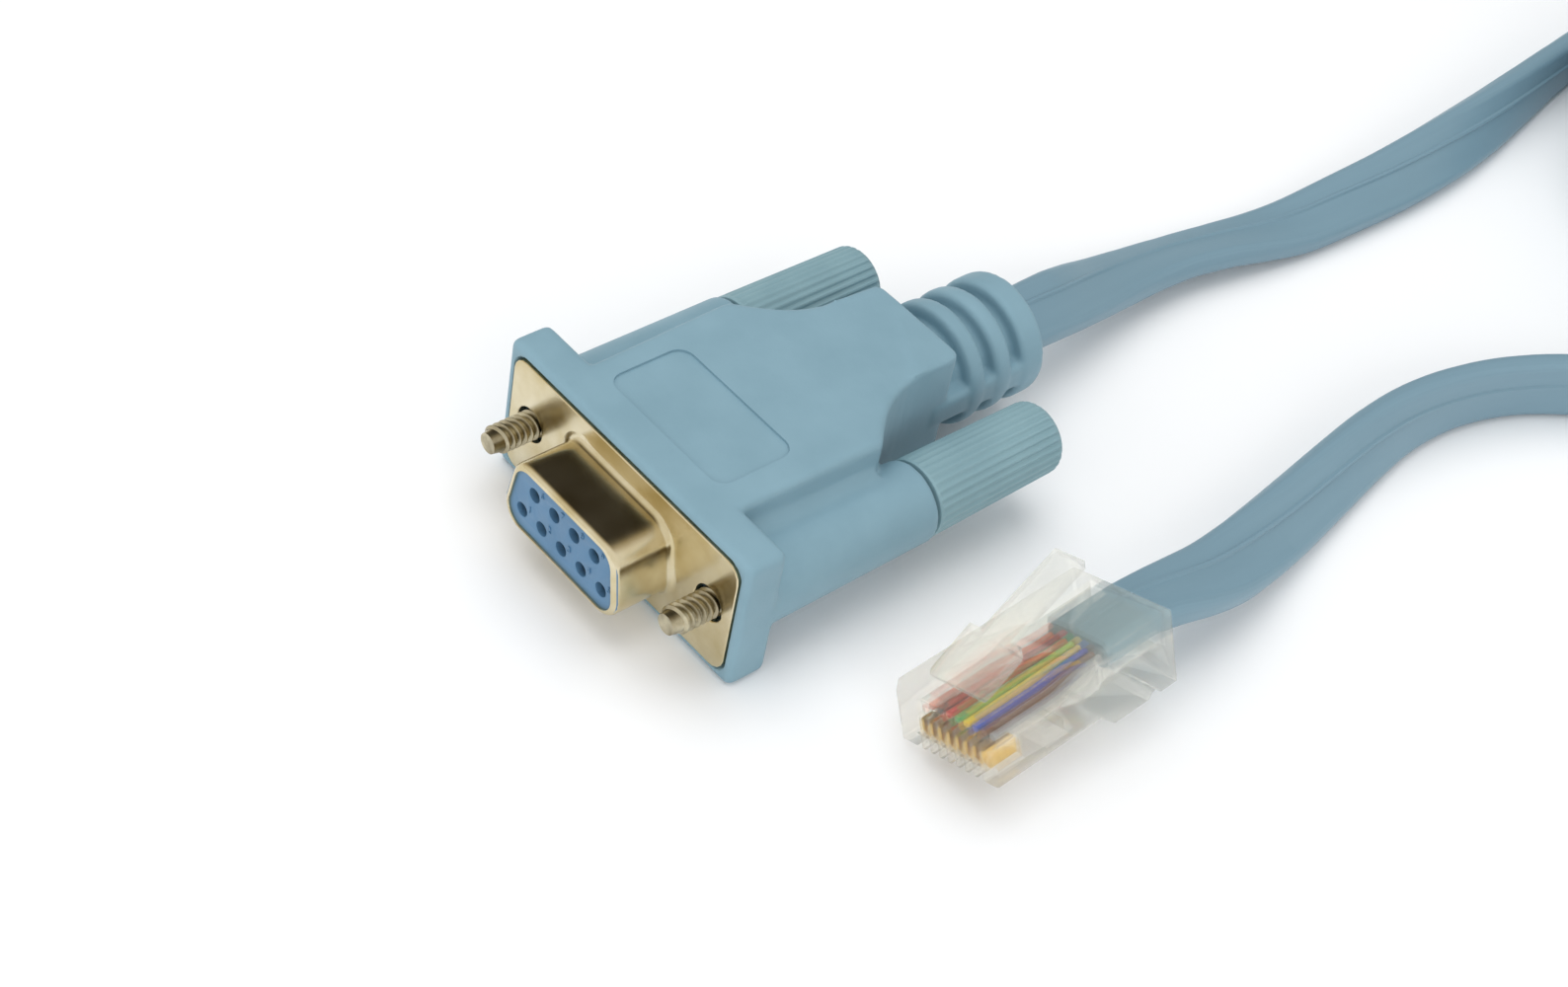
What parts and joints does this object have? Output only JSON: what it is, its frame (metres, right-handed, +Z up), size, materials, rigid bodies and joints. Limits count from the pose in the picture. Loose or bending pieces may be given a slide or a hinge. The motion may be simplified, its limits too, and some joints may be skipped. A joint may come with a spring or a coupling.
{
  "type": "console cable",
  "caption": "Flat console cable from a D-sub socket in a moulded hood with thumbscrews to a clear modular plug, the spare length wound in a round coil.",
  "frame": {"origin": "on the surface that the lead lies on, under the middle of the D-sub end's box (hood, shell and thumbscrews, without the cable)", "axes": "+X across the D-sub, from the first contact of its wide row towards the fifth; +Y from the mating face back along the hood to the cable; +Z up, the D-sub's narrow row on top"},
  "size_m": [0.0999, 0.2068, 0.0167],
  "materials": {
    "hood_blue": "satin",
    "knob_blue": "satin",
    "cable_blue": "satin",
    "nickel": "gloss",
    "screw_steel": "satin",
    "socket_blue": "satin",
    "gold": "gloss",
    "clear_plastic": "gloss",
    "tie_black": "matte",
    "wire_orange": "satin",
    "wire_black": "satin",
    "wire_red": "satin",
    "wire_green": "satin",
    "wire_yellow": "satin",
    "wire_blue": "satin",
    "wire_brown": "satin",
    "wire_grey": "satin"
  },
  "bodies": {
    "lead": {"hood": "hood_blue", "shroud": "nickel", "insulator": "socket_blue", "contact_1": "gold", "contact_2": "gold", "contact_3": "gold", "contact_4": "gold", "contact_5": "gold", "contact_6": "gold", "contact_7": "gold", "contact_8": "gold", "contact_9": "gold", "cable_hood_run": "cable_blue", "cable_plug_run": "cable_blue", "cable_coil": "cable_blue", "coil_tie": "tie_black", "plug_body": "clear_plastic", "plug_blade_1": "gold", "plug_blade_2": "gold", "plug_blade_3": "gold", "plug_blade_4": "gold", "plug_blade_5": "gold", "plug_blade_6": "gold", "plug_blade_7": "gold", "plug_blade_8": "gold", "plug_wire_1": "wire_orange", "plug_wire_2": "wire_black", "plug_wire_3": "wire_red", "plug_wire_4": "wire_green", "plug_wire_5": "wire_yellow", "plug_wire_6": "wire_blue", "plug_wire_7": "wire_brown", "plug_wire_8": "wire_grey"},
    "thumbscrew_left": {"thumbscrew_knob_left": "knob_blue", "jackscrew_left": "screw_steel"},
    "thumbscrew_right": {"thumbscrew_knob_right": "knob_blue", "jackscrew_right": "screw_steel"},
    "latch": {"plug_latch": "clear_plastic"}
  },
  "joints": [
    {"name": "thumbscrew_left_turn", "type": "hinge", "parent": "lead", "child": "thumbscrew_left", "pos_m": [-0.01249, 0, 0.0072], "axis": [0, 1, 0], "continuous": true},
    {"name": "thumbscrew_right_turn", "type": "hinge", "parent": "lead", "child": "thumbscrew_right", "pos_m": [0.01249, 0, 0.0072], "axis": [0, 1, 0], "continuous": true},
    {"name": "latch_press", "type": "hinge", "parent": "lead", "child": "latch", "pos_m": [0.03177, -0.0091, 0.00911], "axis": [-0.931, -0.0052, -0.3649], "range_deg": [0, 18], "stiffness_Nm_per_rad": 0.02}
  ]
}
